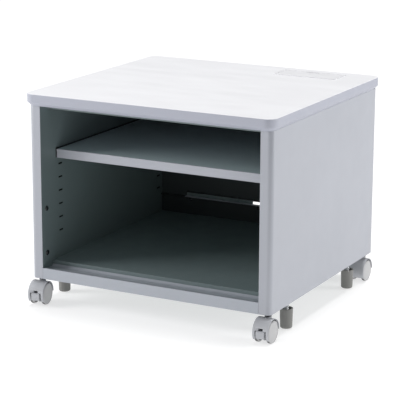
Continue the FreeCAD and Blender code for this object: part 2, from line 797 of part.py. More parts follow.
def make_screws():
    """Screws of the liners, the back panel and the top board."""
    screws = []
    for side, sign in (("right", -1), ("left", 1)):
        inward = FreeCAD.Vector(sign, 0, 0)
        x = HALF_OPENING if side == "right" else f"(-{HALF_OPENING})"
        for rise in ("low", "high"):
            z = f"(dims.body_base + dims.liner_screw_{rise})"
            screws.append(dome_screw(
                f"{side}_{rise}_liner_screw", x, LINER_SCREW_Y, z, inward,
                "dims.dome_radius", "dims.dome_height", "dims.back_screw_length",
            ))
    group("liner_screws", screws)
    screws = []
    for number, x in enumerate(("(-dims.rail_screw_far)", "0", "dims.rail_screw_far")):
        screws.append(dome_screw(
            f"back_screw_{number}", x, "dims.back_face", RAIL_SCREW_Z, FreeCAD.Vector(0, -1, 0),
            "dims.back_screw_radius", "dims.back_screw_height", "dims.back_screw_length",
        ))
    group("back_rail_screws", screws)
    screws = []
    under = f"({BODY_TOP} - dims.skin)"
    for row, y in (("front", TOP_SCREW_FRONT), ("rear", TOP_SCREW_REAR)):
        for number, x in enumerate(("(-dims.top_screw_spread)", "0", "dims.top_screw_spread")):
            screws.append(dome_screw(
                f"{row}_top_screw_{number}", x, y, under, FreeCAD.Vector(0, 0, -1),
                "dims.back_screw_radius", "dims.back_screw_height", "dims.screw_length",
            ))
    group("top_board_screws", screws)


def make_nuts(name, y):
    """Hexagon nuts welded over the channel's holes at four places."""
    nuts = []
    plate = "(dims.body_base + dims.channel_wall)"
    for number, (sign_x, sign_y) in enumerate(((1, 1), (1, -1), (-1, 1), (-1, -1))):
        hexagon = doc.addObject("Part::Prism", f"{name}_hexagon_{number}")
        hexagon.Polygon = 6
        hexagon.setExpression("Circumradius", "dims.nut_corner_radius")
        hexagon.setExpression("Height", "dims.nut_height")
        place(hexagon, f"{sign_x} * {STEM_X}", f"{sign_y} * {y}", plate)
        bore = rod(
            f"{name}_bore_{number}", f"{sign_x} * {STEM_X}", f"{sign_y} * {y}", plate,
            FreeCAD.Vector(0, 0, 1), "dims.nut_bore", "dims.nut_height",
        )
        nut = doc.addObject("Part::Cut", f"{name}_{number}")
        nut.Base = hexagon
        nut.Tool = bore
        nuts.append(nut)
    group(name, nuts)


# ---- casters --------------------------------------------------------------------
# Each caster is drawn about its own stem: the origin is on the floor under the stem,
# and the wheels trail toward -Y.

def revolve(body, name, outline):
    """Turn an outline of (radius, height) corners about the body's own Z axis."""
    sketch = new_sketch(body, "XZ_Plane", name)
    polygon(sketch, outline)
    turn = body.newObject("PartDesign::Revolution", name + "_turn")
    turn.Profile = sketch
    turn.ReferenceAxis = (sketch, ["V_Axis"])
    turn.Angle = 360
    doc.recompute()


def make_caster_stem(name, x, y, yaw):
    """Threaded stem with a collar above its swivel pin."""
    body = new_body(name + "_stem", x, y, "0", yaw)
    revolve(body, name + "_stem_outline", [
        ("0", "dims.pin_low"),
        ("dims.pin_radius", "dims.pin_low"),
        ("dims.pin_radius", "dims.collar_low"),
        ("dims.collar_radius", "dims.collar_low"),
        ("dims.collar_radius", BASE),
        ("dims.thread_radius", BASE),
        ("dims.thread_radius", "dims.stem_top"),
        ("0", "dims.stem_top"),
    ])


def make_hood(name, x, y, yaw, braked):
    """Drum-shaped hood: two wheel pockets, a web with the swivel boss, open below."""
    body = new_body(name + "_hood", x, y, "0", yaw)
    drum = new_sketch(body, "YZ_Plane", name + "_drum")
    circle(drum, "-dims.trail", "dims.wheel_radius + dims.hood_lift", "dims.hood_radius")
    pad(body, drum, "2 * dims.hood_half_width", midplane=True)
    side = float(dims.get("hood_half_width"))
    round_edges(body, "Fillet", lambda middle, along: abs(middle.x) > side - 0.01, "dims.hood_round")
    boss = new_sketch(body, "XY_Plane", name + "_boss", "dims.boss_low")
    circle(boss, "0", "0", "dims.boss_radius")
    pad(body, boss, "dims.boss_high - dims.boss_low")
    depth = "dims.hood_half_width - dims.web_half_width + dims.cut_margin"
    planes = {"right": "dims.hood_half_width + dims.cut_margin", "left": "-dims.web_half_width"}
    for hand, plane in planes.items():
        hollow = new_sketch(body, "YZ_Plane", f"{name}_{hand}_pocket", plane)
        circle(hollow, "-dims.trail", "dims.wheel_radius + dims.hood_lift", "dims.hood_cavity_radius")
        pocket(body, hollow, depth)
    below = new_sketch(body, "YZ_Plane", name + "_opening_below")
    polygon(below, [
        ("-dims.trail - dims.hood_past", "-dims.hood_low"),
        ("-dims.trail + dims.hood_past", "-dims.hood_low"),
        ("-dims.trail + dims.hood_past", "dims.wheel_radius"),
        ("-dims.trail + dims.hood_rear_edge", "dims.wheel_radius"),
        ("-dims.trail + dims.hood_web_edge", "dims.hood_low"),
        ("-dims.trail - dims.hood_past", "dims.hood_low"),
    ])
    pocket(body, below, "2 * dims.hood_half_width + 2 * dims.cut_margin", midplane=True)
    bore = new_sketch(body, "XY_Plane", name + "_swivel_bore", "dims.boss_high")
    circle(bore, "0", "0", "dims.pin_bore")
    pocket(body, bore, "dims.boss_high - dims.pin_low + dims.cut_margin")
    axle = new_sketch(body, "YZ_Plane", name + "_axle_bore")
    circle(axle, "-dims.trail", "dims.wheel_radius", "dims.axle_radius")
    pocket(body, axle, "2 * dims.hood_half_width", midplane=True)
    if braked:
        cut_lever_slot(body, name)


def cut_lever_slot(body, name):
    """Slot in the web, recess in the drum's front and the pin holes of the brake."""
    front = "-dims.trail - dims.hood_past"
    back = "-dims.trail - dims.lever_pivot_forward + dims.lever_hub_radius + dims.cut_margin"
    slot = new_sketch(body, "YZ_Plane", name + "_lever_slot")
    rectangle(slot, (front, back), ("0", "dims.lever_slot_high"))
    pocket(body, slot, "2 * dims.lever_slot_half_width", midplane=True)
    recess = new_sketch(body, "YZ_Plane", name + "_lever_recess")
    rectangle(recess, (front, "-dims.trail - dims.lever_recess_back"), ("0", "dims.lever_recess_high"))
    pocket(body, recess, "2 * dims.lever_recess_half_width", midplane=True)
    holes = new_sketch(body, "YZ_Plane", name + "_lever_pin_holes")
    forward = "-dims.trail - dims.lever_pivot_forward"
    circle(holes, forward, "dims.lever_pivot_rise", "dims.lever_pin_radius")
    pocket(body, holes, "2 * dims.lever_pin_half_length", midplane=True)


def make_wheels(name, x, y, yaw):
    """Axle and two wheels; each wheel's bore stops short of its plain outer face."""
    body = new_body(name + "_axle", x, y, "0", yaw)
    shaft = new_sketch(body, "YZ_Plane", name + "_shaft")
    circle(shaft, "-dims.trail", "dims.wheel_radius", "dims.axle_radius")
    pad(body, shaft, "2 * dims.axle_half_length", midplane=True)
    width = "dims.wheel_outer - dims.wheel_inner"
    for hand in ("right", "left"):
        body = new_body(f"{name}_{hand}_wheel", x, y, "0", yaw)
        start = "dims.wheel_inner" if hand == "right" else "-dims.wheel_outer"
        disc = new_sketch(body, "YZ_Plane", f"{name}_{hand}_disc", start)
        circle(disc, "-dims.trail", "dims.wheel_radius", "dims.wheel_radius")
        pad(body, disc, width)
        round_edges(body, "Fillet", lambda middle, along: True, "dims.wheel_round")
        end = "dims.axle_half_length + dims.fit_gap"
        if hand == "left":
            end = "dims.cut_margin - dims.wheel_inner"
        bore = new_sketch(body, "YZ_Plane", f"{name}_{hand}_bore", end)
        circle(bore, "-dims.trail", "dims.wheel_radius", "dims.axle_bore")
        depth = "dims.axle_half_length + dims.fit_gap + dims.cut_margin - dims.wheel_inner"
        pocket(body, bore, depth)


def make_brake(name, x, y, yaw):
    """Foot lever in the hood's front: a wide pad on an arm that turns on a cross pin."""
    pin = new_body(name + "_brake_pin", x, y, "0", yaw)
    rod_end = new_sketch(pin, "YZ_Plane", name + "_brake_pin_circle")
    forward = "(-dims.trail - dims.lever_pivot_forward)"
    circle(rod_end, forward, "dims.lever_pivot_rise", "dims.lever_pin_radius")
    pad(pin, rod_end, "2 * dims.lever_pin_half_length", midplane=True)
    lever = new_body(name + "_brake_lever", x, y, "0", yaw)
    side = new_sketch(lever, "YZ_Plane", name + "_lever_side")
    heel = f"{forward} + dims.lever_heel"
    nose = f"{forward} - dims.lever_reach"
    inside = f"{nose} + dims.lever_thickness"
    under = "dims.lever_pivot_rise - dims.lever_hub_radius"
    polygon(side, [
        (heel, "dims.lever_pivot_rise + dims.lever_heel"),
        (inside, "dims.lever_top"),
        (nose, "dims.lever_top"),
        (nose, "dims.lever_low"),
        (inside, "dims.lever_low"),
        (inside, under),
        (heel, under),
    ])
    pad(lever, side, "2 * dims.lever_half_width", midplane=True)
    foot = new_sketch(lever, "YZ_Plane", name + "_lever_pad")
    rectangle(foot, (nose, f"{nose} + dims.lever_pad_thickness"), ("dims.lever_low", "dims.lever_top"))
    pad(lever, foot, "2 * dims.lever_pad_half_width", midplane=True)
    reach = sum(float(dims.get(size)) for size in ("trail", "lever_pivot_forward", "lever_reach"))
    half = float(dims.get("lever_pad_half_width"))
    round_edges(
        lever, "Fillet",
        lambda middle, along: abs(along.x) > 0.9 and middle.y < 0.01 - reach,
        "dims.lever_nose_round",
    )
    round_edges(lever, "Fillet", lambda middle, along: abs(middle.x) > half - 0.01, "dims.lever_edge_round")
    bore = new_sketch(lever, "YZ_Plane", name + "_lever_bore")
    circle(bore, forward, "dims.lever_pivot_rise", "dims.lever_bore")
    pocket(lever, bore, "2 * dims.lever_half_width", midplane=True)


def make_casters():
    """Four casters; the front left one stands turned a little, as it was left."""
    corners = {
        "front_left": (f"(-{STEM_X})", f"(-{STEM_Y})", "dims.front_left_yaw"),
        "front_right": (STEM_X, f"(-{STEM_Y})", "0"),
        "rear_left": (f"(-{STEM_X})", STEM_Y, "0"),
        "rear_right": (STEM_X, STEM_Y, "0"),
    }
    for corner, (x, y, yaw) in corners.items():
        braked = corner.startswith("front")
        name = f"{corner}_caster"
        make_caster_stem(name, x, y, yaw)
        make_hood(name, x, y, yaw, braked)
        make_wheels(name, x, y, yaw)
        if braked:
            make_brake(name, x, y, yaw)


# ---- levelling feet --------------------------------------------------------------

def make_feet():
    """Four feet: a threaded stud that turns in a channel nut, and a tapered cup."""
    cup_top = "(dims.cup_low + dims.cup_height)"
    hollow = "(dims.cup_foot_radius - dims.cup_wall)"
    corners = {
        "front_left": (f"(-{STEM_X})", f"(-{FOOT_Y})"),
        "front_right": (STEM_X, f"(-{FOOT_Y})"),
        "rear_left": (f"(-{STEM_X})", FOOT_Y),
        "rear_right": (STEM_X, FOOT_Y),
    }
    for corner, (x, y) in corners.items():
        stud = new_body(f"{corner}_foot_stud", x, y)
        revolve(stud, f"{corner}_stud_outline", [
            ("0", "dims.stud_low"),
            ("dims.thread_radius", "dims.stud_low"),
            ("dims.thread_radius", "dims.stud_top - dims.cut_margin"),
            ("dims.thread_radius - dims.cut_margin", "dims.stud_top"),
            ("0", "dims.stud_top"),
        ])
        cup = new_body(f"{corner}_foot_cup", x, y)
        revolve(cup, f"{corner}_cup_outline", [
            ("0", "dims.cup_low"),
            ("dims.cup_foot_radius", "dims.cup_low"),
            ("dims.cup_top_radius", cup_top),
            ("dims.cup_top_radius - dims.cup_wall", cup_top),
            (hollow, "dims.cup_low + dims.cup_floor"),
            ("dims.cup_bore", "dims.cup_low + dims.cup_floor"),
            ("dims.cup_bore", "dims.stud_bore_low"),
            ("0", "dims.stud_bore_low"),
        ])
        low = float(dims.get("cup_low"))
        round_edges(cup, "Fillet", lambda middle, along: middle.z < low + 0.01, "dims.cup_round")


# ---- build, check and write -------------------------------------------------------

def check_and_write():
    """Stop on any failed object, then write one STEP file for each sub-part."""
    doc.recompute()
    for item in doc.Objects:
        if "Invalid" in item.State or "Error" in item.State:
            raise RuntimeError(f"{item.Name} failed: {item.State}")
    for item in sub_parts:
        if item.Shape.isNull() or not item.Shape.isValid():
            raise RuntimeError(f"{item.Label} has no valid shape")
    for item in sub_parts:
        item.Shape.exportStep(f"parts/{item.Label}.step")


make_top_board()
make_cable_slot_frame()
make_cable_slot_cover()
for side in ("left", "right"):
    make_outer_panel(side)
    make_inner_panel(side)
    make_base_channel(side)
make_back_panel()
make_rails_and_floor()
make_shelf()
make_shelf_clips()
make_screws()
make_nuts("caster_nuts", STEM_Y)
make_nuts("foot_nuts", FOOT_Y)
make_casters()
make_feet()
check_and_write()
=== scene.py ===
import json
import math
import bmesh
import bpy
from mathutils import Matrix, Vector


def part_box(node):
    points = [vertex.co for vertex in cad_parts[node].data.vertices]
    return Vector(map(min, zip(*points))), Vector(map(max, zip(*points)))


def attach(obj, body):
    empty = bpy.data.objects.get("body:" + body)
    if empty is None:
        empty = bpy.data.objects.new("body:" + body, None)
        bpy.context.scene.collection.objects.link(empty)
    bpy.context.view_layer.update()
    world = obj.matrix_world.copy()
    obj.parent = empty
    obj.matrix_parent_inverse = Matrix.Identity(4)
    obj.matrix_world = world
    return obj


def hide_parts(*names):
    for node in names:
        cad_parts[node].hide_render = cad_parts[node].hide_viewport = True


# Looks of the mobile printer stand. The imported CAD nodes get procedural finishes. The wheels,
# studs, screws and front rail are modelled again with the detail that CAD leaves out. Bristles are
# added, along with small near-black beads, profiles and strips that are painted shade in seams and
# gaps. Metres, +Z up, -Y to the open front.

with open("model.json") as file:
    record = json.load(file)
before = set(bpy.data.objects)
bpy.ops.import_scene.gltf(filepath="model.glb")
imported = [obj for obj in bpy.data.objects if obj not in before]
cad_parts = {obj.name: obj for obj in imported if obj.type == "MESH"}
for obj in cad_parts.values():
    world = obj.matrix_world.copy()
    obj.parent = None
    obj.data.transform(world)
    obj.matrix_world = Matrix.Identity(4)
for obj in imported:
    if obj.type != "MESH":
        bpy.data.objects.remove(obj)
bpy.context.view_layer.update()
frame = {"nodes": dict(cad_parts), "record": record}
nodes = frame["nodes"]

MM = 0.001
SAME_PLACE = 0.01 * MM      # vertices nearer than this are one
CAMERA_PLACE = (1.4155, -2.7148, 0.9513)
CAMERA_AZIMUTH, CAMERA_PITCH, CAMERA_ROLL = 27.77, 14.24, 0.22      # degrees
CAMERA_LENS, CAMERA_SENSOR = 153.2, 36      # millimetres
SKY_COLOR, SKY_STRENGTH = (0.97, 0.98, 1.0, 1.0), 0.30
LIT_POINT = (0.0, 0.0, 0.2)     # where the softboxes aim
FLOOR_REACH = 30.0
FLOOR_GREY, FLOOR_GLOW = 0.47, 0.62
CAD_EDGE, RAIL_EDGE = 0.25, 0.5     # rounding of sharp edges, millimetres
SHARP_ANGLE, ROUNDING_STEPS = 40, 2     # edges sharper than this, in degrees, are rounded
CORNERS = ("front_left", "front_right", "rear_left", "rear_right")

# Screws: the axis each group lies along (0 is x, 1 is y) and the height of its heads. The recess
# is given in shares of the head's radius, and its depth in shares of the head's height.
SCREW_GROUPS = {"liner_screws": (0, 2.6), "back_rail_screws": (1, 1.8)}
SHANK_RADIUS = 2.0
SCREW_SPOKES, HEAD_ROWS = 64, 22
ARM_HALF_WIDTH, ARM_REACH = 0.13, 0.56
RECESS_DEPTH, RECESS_SLOPE = 0.62, 0.5

# Gutter of the front rail: its rim is the flat part at the front, and its turn the share of the
# way back at which it rises again.
GUTTER_DEPTH, GUTTER_RIM, GUTTER_TURN = 3.4 * MM, 2.0 * MM, 0.87
GUTTER_LINES = 24
LEDGE_SHEET = 3 * MM        # the rail's vertices this near its top are the ledge

BEAD_RADIUS, TAB_BEAD_RADIUS = 0.6 * MM, 1.1 * MM
BEAD_SPOKES, BEAD_STEP = 10, 6 * MM
BEAD_TOP_GAP = 9 * MM       # from the upper end of the wall's beads to the back panel's top
BEAD_PAST_EDGING, BEAD_OVER_TABS = 0.3 * MM, 5.5 * MM

NOTCH_CENTRE, NOTCH_WIDTH, NOTCH_DEPTH = 121.5 * MM, 22 * MM, 8 * MM
BRISTLES, BRISTLE_SPOKES = 25, 6
BRISTLE_ROOT, BRISTLE_TIP = 0.42 * MM, 0.30 * MM        # radii
BRISTLE_GAP, BRISTLE_LEAN = 0.3 * MM, 0.25 * MM
BRISTLE_MARGIN = 0.2 * MM   # left free at each side of the notch
BRISTLE_INSET = 0.7 * MM    # of a row from the cover's upper or lower face

PROFILE_CROWN, PROFILE_SHOULDER = 1.8 * MM, 1.3 * MM        # heights above the shelf
PROFILE_SEAT = 0.02 * MM
CAP_START, CAP_END = 0.4 * MM, 0.02 * MM        # of the end cap, ahead of the shelf's trim

SLOT_COLUMNS = (-159 * MM, 206 * MM)        # middles of the shelf slots, front and rear
BACKING_GAP = 1.0 * MM      # from the shelf clips out to the black strips
BACKING_FOOT, BACKING_OVER_SHELF = 62 * MM, 8 * MM
BACKING_AHEAD, BACKING_BEHIND = 12 * MM, 24 * MM        # of a column's middle
BACKING_CLEAR = 3 * MM      # to the rear edge of the liner


# ---- camera, light and floor ------------------------------------------------------

def make_camera():
    """Three-quarter view from the front right, looking down a little."""
    data = bpy.data.cameras.new("camera")
    data.lens = CAMERA_LENS
    data.sensor_width = CAMERA_SENSOR
    camera = bpy.data.objects.new("camera", data)
    bpy.context.scene.collection.objects.link(camera)
    camera.location = CAMERA_PLACE
    turn = Matrix.Rotation(math.radians(CAMERA_AZIMUTH), 4, "Z")
    turn @= Matrix.Rotation(math.radians(90 - CAMERA_PITCH), 4, "X")
    turn @= Matrix.Rotation(math.radians(CAMERA_ROLL), 4, "Z")
    camera.rotation_mode = "QUATERNION"
    camera.rotation_quaternion = turn.to_quaternion()
    bpy.context.scene.camera = camera


def make_softbox(name, place, size, power):
    """A square area light at a place, turned towards the cabinet."""
    data = bpy.data.lights.new(name, "AREA")
    data.shape = "SQUARE"
    data.size = size
    data.energy = power
    light = bpy.data.objects.new(name, data)
    bpy.context.scene.collection.objects.link(light)
    light.location = place
    light.rotation_mode = "QUATERNION"
    light.rotation_quaternion = (Vector(LIT_POINT) - light.location).to_track_quat("-Z", "Y")


def make_sky_light(name, power, spread, lean):
    """Even light from a lit ceiling; spread and lean are in degrees."""
    data = bpy.data.lights.new(name, "SUN")
    data.energy = power
    data.angle = math.radians(spread)
    light = bpy.data.objects.new(name, data)
    bpy.context.scene.collection.objects.link(light)
    light.rotation_euler = (-math.radians(lean), 0.0, 0.0)


def make_studio():
    """A white light table under a lit ceiling, with softboxes at far left and at right."""
    world = bpy.data.worlds.new("studio")
    world.use_nodes = True
    background = world.node_tree.nodes["Background"]
    background.inputs["Color"].default_value = SKY_COLOR
    background.inputs["Strength"].default_value = SKY_STRENGTH
    bpy.context.scene.world = world
    bpy.context.scene.view_settings.view_transform = "Standard"
    make_sky_light("lit_ceiling", power=1.9, spread=20, lean=8)
    make_softbox("softbox_right", (2.6, 1.05, 0.95), size=1.2, power=33)
    make_softbox("softbox_left", (-2.3, -1.4, 1.25), size=1.3, power=48)
    floor_mesh = bpy.data.meshes.new("studio_floor")
    signs = ((-1, -1), (1, -1), (1, 1), (-1, 1))
    corners = [(x * FLOOR_REACH, y * FLOOR_REACH, 0) for x, y in signs]
    floor_mesh.from_pydata(corners, [], [(0, 1, 2, 3)])
    floor = bpy.data.objects.new("studio_floor", floor_mesh)
    bpy.context.scene.collection.objects.link(floor)
    table = Surface("studio_table", (FLOOR_GREY, FLOOR_GREY, FLOOR_GREY), 0.9, specular=0.0)
    table.shader.inputs["Emission Color"].default_value = (1.0, 1.0, 1.0, 1.0)
    table.shader.inputs["Emission Strength"].default_value = FLOOR_GLOW
    floor_mesh.materials.append(table.material)


# ---- materials --------------------------------------------------------------------

class Surface:
    """A Principled material, with helpers that add procedural detail to it."""

    def __init__(self, name, color, roughness, metallic=0.0, specular=0.5):
        self.material = bpy.data.materials.new(name)
        self.material.use_nodes = True
        self.tree = self.material.node_tree
        self.shader = self.tree.nodes["Principled BSDF"]
        self.color = color
        self.shader.inputs["Base Color"].default_value = (*color, 1.0)
        self.shader.inputs["Roughness"].default_value = roughness
        self.shader.inputs["Metallic"].default_value = metallic
        self.shader.inputs["Specular IOR Level"].default_value = specular
        self.place = self.tree.nodes.new("ShaderNodeTexCoord").outputs["Object"]

    def node(self, kind):
        """A new shader node of a kind."""
        return self.tree.nodes.new(f"ShaderNode{kind}")

    def link(self, source, target):
        """Wire one socket to another."""
        self.tree.links.new(source, target)

    def stretched(self, factors):
        """Object coordinates scaled by axis, for grain that runs one way."""
        mapping = self.node("Mapping")
        mapping.inputs["Scale"].default_value = factors
        self.link(self.place, mapping.inputs["Vector"])
        return mapping.outputs["Vector"]

    def noise(self, scale, detail=2.0, vector=None):
        """Noise whose grains are about one over scale metres wide."""
        noise = self.node("TexNoise")
        noise.inputs["Scale"].default_value = scale
        noise.inputs["Detail"].default_value = detail
        self.link(vector or self.place, noise.inputs["Vector"])
        return noise.outputs["Fac"]

    def span(self, source, low, high, start=0.3, end=0.7):
        """Map the middle of a noise to the range from low to high."""
        span = self.node("MapRange")
        span.inputs["From Min"].default_value = start
        span.inputs["From Max"].default_value = end
        span.inputs["To Min"].default_value = low
        span.inputs["To Max"].default_value = high
        self.link(source, span.inputs["Value"])
        return span.outputs["Result"]

    def tint(self, factor, color):
        """Mix another colour into the base colour by a factor between 0 and 1."""
        mix = self.node("Mix")
        mix.data_type = "RGBA"
        target = self.shader.inputs["Base Color"]
        first, second = mix.inputs[6], mix.inputs[7]
        if target.is_linked:
            self.link(target.links[0].from_socket, first)
        else:
            first.default_value = (*self.color, 1.0)
        second.default_value = (*color, 1.0)
        self.link(factor, mix.inputs["Factor"])
        self.link(mix.outputs[2], target)

    def product(self, first, second):
        """One factor times another."""
        product = self.node("Math")
        product.operation = "MULTIPLY"
        self.link(first, product.inputs[0])
        self.link(second, product.inputs[1])
        return product.outputs["Value"]

    def rough(self, source):
        """Drive the roughness."""
        self.link(source, self.shader.inputs["Roughness"])

    def bump(self, height, strength, depth):
        """Raise the surface by a height map; calls stack up."""
        bump = self.node("Bump")
        bump.inputs["Strength"].default_value = strength
        bump.inputs["Distance"].default_value = depth
        target = self.shader.inputs["Normal"]
        if target.is_linked:
            self.link(target.links[0].from_socket, bump.inputs["Normal"])
        self.link(height, bump.inputs["Height"])
        self.link(bump.outputs["Normal"], target)

    def painted_edge_highlight(self, width, amount, color):
        """Paint another colour along sharp edges, in patches: a painted edge highlight."""
        bevel = self.node("Bevel")
        bevel.samples = 4
        bevel.inputs["Radius"].default_value = width
        geometry = self.node("NewGeometry")
        dot = self.node("VectorMath")
        dot.operation = "DOT_PRODUCT"
        self.link(bevel.outputs["Normal"], dot.inputs[0])
        self.link(geometry.outputs["Normal"], dot.inputs[1])
        edge = self.span(dot.outputs["Value"], amount, 0.0, 0.80, 0.99)
        patches = self.span(self.noise(90, 4.0), 0.25, 1.0, 0.4, 0.6)
        self.tint(self.product(edge, patches), color)


def scaled(color, factor):
    """A colour made lighter or darker."""
    return tuple(min(1.0, channel * factor) for channel in color)


def powder_coat(name, color, roughness, grain):
    """Baked paint: orange-peel skin, faint mottling, fine speckle, and sharp edges lightened in
    patches as a painted highlight.
    """
    paint = Surface(name, color, roughness)
    paint.tint(paint.span(paint.noise(7, 3.0), 0.0, 1.0), scaled(color, 0.965))
    paint.tint(paint.span(paint.noise(1400, 1.0), 0.0, 0.35, 0.55, 0.75), scaled(color, 0.86))
    paint.tint(paint.span(paint.noise(1900, 1.0), 0.0, 0.30, 0.58, 0.75), scaled(color, 1.14))
    paint.rough(paint.span(paint.noise(35, 4.0), roughness - 0.04, roughness + 0.06))
    paint.bump(paint.noise(grain, 2.0), 0.10, 0.0004)
    # Sharp edges a fifth lighter in patches: a painted edge highlight.
    paint.painted_edge_highlight(0.0006, 0.22, scaled(color, 1.2))
    return paint.material


def laminate(name, color, band):
    """Foil on board: close leather-like print, a soft sheen, and a greyer band round the edge."""
    foil = Surface(name, color, 0.42)
    foil.tint(foil.span(foil.noise(4, 3.0), 0.0, 1.0), scaled(color, 0.985))
    foil.tint(foil.span(foil.noise(1100, 2.0), 0.0, 0.3, 0.5, 0.8), scaled(color, 0.93))
    parts = foil.node("SeparateXYZ")
    foil.link(foil.node("NewGeometry").outputs["Normal"], parts.inputs["Vector"])
    side = foil.span(parts.outputs["Z"], 1.0, 0.0, 0.45, 0.80)
    foil.tint(side, band)
    foil.tint(foil.product(side, foil.noise(1300, 1.0)), scaled(band, 0.90))
    wipes = foil.noise(9, 5.0, foil.stretched((1.0, 3.5, 1.0)))
    foil.rough(foil.span(wipes, 0.36, 0.50))
    foil.bump(foil.noise(900, 3.0), 0.08, 0.0003)
    return foil.material


def moulded(name, color, roughness, grain=1500):
    """Moulded plastic: spark-eroded texture, slow flow marks and a little shine."""
    plastic = Surface(name, color, roughness)
    plastic.tint(plastic.span(plastic.noise(45, 4.0), 0.0, 1.0), scaled(color, 0.94))
    plastic.tint(plastic.span(plastic.noise(2200, 1.0), 0.0, 0.4, 0.55, 0.8), scaled(color, 0.88))
    plastic.rough(plastic.span(plastic.noise(120, 3.0), roughness - 0.05, roughness + 0.08))
    plastic.bump(plastic.noise(grain, 2.0), 0.12, 0.00015)
    return plastic.material


def rolling_nylon(name, color):
    """Wheel nylon: moulded, with the tread painted far darker as shade for the gap under the hood,
    grimed in patches by the floor, and dulled.
    """
    nylon = Surface(name, color, 0.42)
    nylon.tint(nylon.span(nylon.noise(45, 4.0), 0.0, 1.0), scaled(color, 0.95))
    coordinates = nylon.node("TexCoord")
    parts = nylon.node("SeparateXYZ")
    nylon.link(coordinates.outputs["Normal"], parts.inputs["Vector"])
    sideways = nylon.node("Math")
    sideways.operation = "ABSOLUTE"
    nylon.link(parts.outputs["X"], sideways.inputs[0])
    tread = nylon.span(sideways.outputs["Value"], 1.0, 0.0, 0.25, 0.75)
    # Painted shade: the tread is darkened so that the gap between hood and wheel reads dark.
    nylon.tint(tread, scaled(color, 0.30))
    grime = nylon.product(tread, nylon.span(nylon.noise(260, 5.0), 0.05, 0.75, 0.35, 0.7))
    nylon.tint(grime, scaled(color, 0.20))
    nylon.rough(nylon.span(tread, 0.40, 0.62, 0.0, 1.0))
    nylon.bump(nylon.noise(900, 3.0), 0.10, 0.0002)
    return nylon.material


def zinc_plate(name, color):
    """Bright zinc: cloudy grain, fine drawing marks and uneven gloss."""
    zinc = Surface(name, color, 0.30, metallic=1.0)
    zinc.tint(zinc.span(zinc.noise(180, 4.0), 0.0, 1.0), scaled(color, 0.82))
    marks = zinc.noise(160, 4.0, zinc.stretched((14.0, 14.0, 1.0)))
    zinc.rough(zinc.span(marks, 0.22, 0.42))
    zinc.bump(marks, 0.08, 0.0002)
    return zinc.material


def black_oxide(name, color):
    """Blackened steel: oily, cloudy gloss over fine tool marks."""
    oxide = Surface(name, color, 0.25, specular=0.8)
    oxide.tint(oxide.span(oxide.noise(240, 4.0), 0.0, 1.0), scaled(color, 1.9))
    marks = oxide.noise(300, 3.0, oxide.stretched((6.0, 6.0, 1.0)))
    oxide.rough(oxide.span(marks, 0.18, 0.32))
    oxide.bump(marks, 0.10, 0.0001)
    return oxide.material


# The finish of each material slot.
MATERIALS = {
    "shell_paint": powder_coat("shell_paint", (0.415, 0.43, 0.475), 0.36, 700),
    "lining_paint": powder_coat("lining_paint", (0.175, 0.222, 0.226), 0.42, 800),
    "top_laminate": laminate("top_laminate", (0.88, 0.88, 0.90), (0.435, 0.45, 0.52)),
    "frame_plastic": moulded("frame_plastic", (0.85, 0.85, 0.87), 0.40),
    "caster_plastic": moulded("caster_plastic", (0.50, 0.51, 0.54), 0.38),
    "wheel_plastic": rolling_nylon("wheel_plastic", (0.50, 0.50, 0.505)),
    "foot_plastic": moulded("foot_plastic", (0.22, 0.22, 0.21), 0.50),
    "zinc_steel": zinc_plate("zinc_steel", (0.72, 0.73, 0.75)),
    "dark_steel": black_oxide("dark_steel", (0.007, 0.010, 0.011)),
}

# Finishes of single nodes and pieces that differ from their slot's. Some are the same paints in
# the tone that shade and bounced light give them: painted light on the shelf and the floor,
# painted shade on the back panel and its lower rail, and a little bluer on the front rail. The
# others are near-black pieces whose colour is painted shade in seams, gaps and hollows.
TONES = {
    "shelf_panel": powder_coat("lining_paint_shelf", (0.46, 0.565, 0.57), 0.40, 800),
    "bottom_tray": powder_coat("lining_paint_floor", (0.195, 0.245, 0.25), 0.40, 800),
    "back_panel": powder_coat("lining_paint_back", (0.036, 0.046, 0.048), 0.50, 800),
    "back_lower_rail": powder_coat("lining_paint_rail", (0.026, 0.034, 0.036), 0.50, 800),
    "seam_shade_beads": moulded("painted_seam_shade", (0.035, 0.042, 0.044), 0.55),
    "front_rail_pressed": powder_coat("shell_paint_rail", (0.41, 0.435, 0.482), 0.36, 700),
    "shelf_gap_shade_profiles": moulded("painted_gap_shade", (0.006, 0.008, 0.009), 0.60),
    "slot_shade_backing": moulded("painted_slot_shade", (0.004, 0.005, 0.005), 0.95),
}


def soften(node, width):
    """Round off sharp edges by a width in millimetres."""
    weld = node.modifiers.new("join_faces", "WELD")
    weld.merge_threshold = SAME_PLACE
    bevel = node.modifiers.new("soft_edges", "BEVEL")
    bevel.width = width * MM
    bevel.segments = ROUNDING_STEPS
    bevel.limit_method = "ANGLE"
    bevel.angle_limit = math.radians(SHARP_ANGLE)
    bevel.harden_normals = True


def finish_cad_nodes():
    """Give every CAD node its finish, and break its sharp edges."""
    for part in frame["record"]["subparts"]:
        node = nodes[part["node"]]
        node.data.materials.clear()
        finish = TONES.get(part["node"], MATERIALS[part["material_slot"]])
        node.data.materials.append(finish)
        soften(node, CAD_EDGE)


# ---- pieces modelled in mesh code ---------------------------------------------------

def new_piece(name, body, slot, mesh, replaced=()):
    """Put a mesh in the scene with its finish, riding on a CAD body."""
    piece = bpy.data.objects.new(name, mesh)
    bpy.context.scene.collection.objects.link(piece)
    mesh.materials.clear()
    mesh.materials.append(TONES.get(name, MATERIALS[slot]))
    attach(piece, body)
    if replaced:
        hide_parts(*replaced)
    return piece


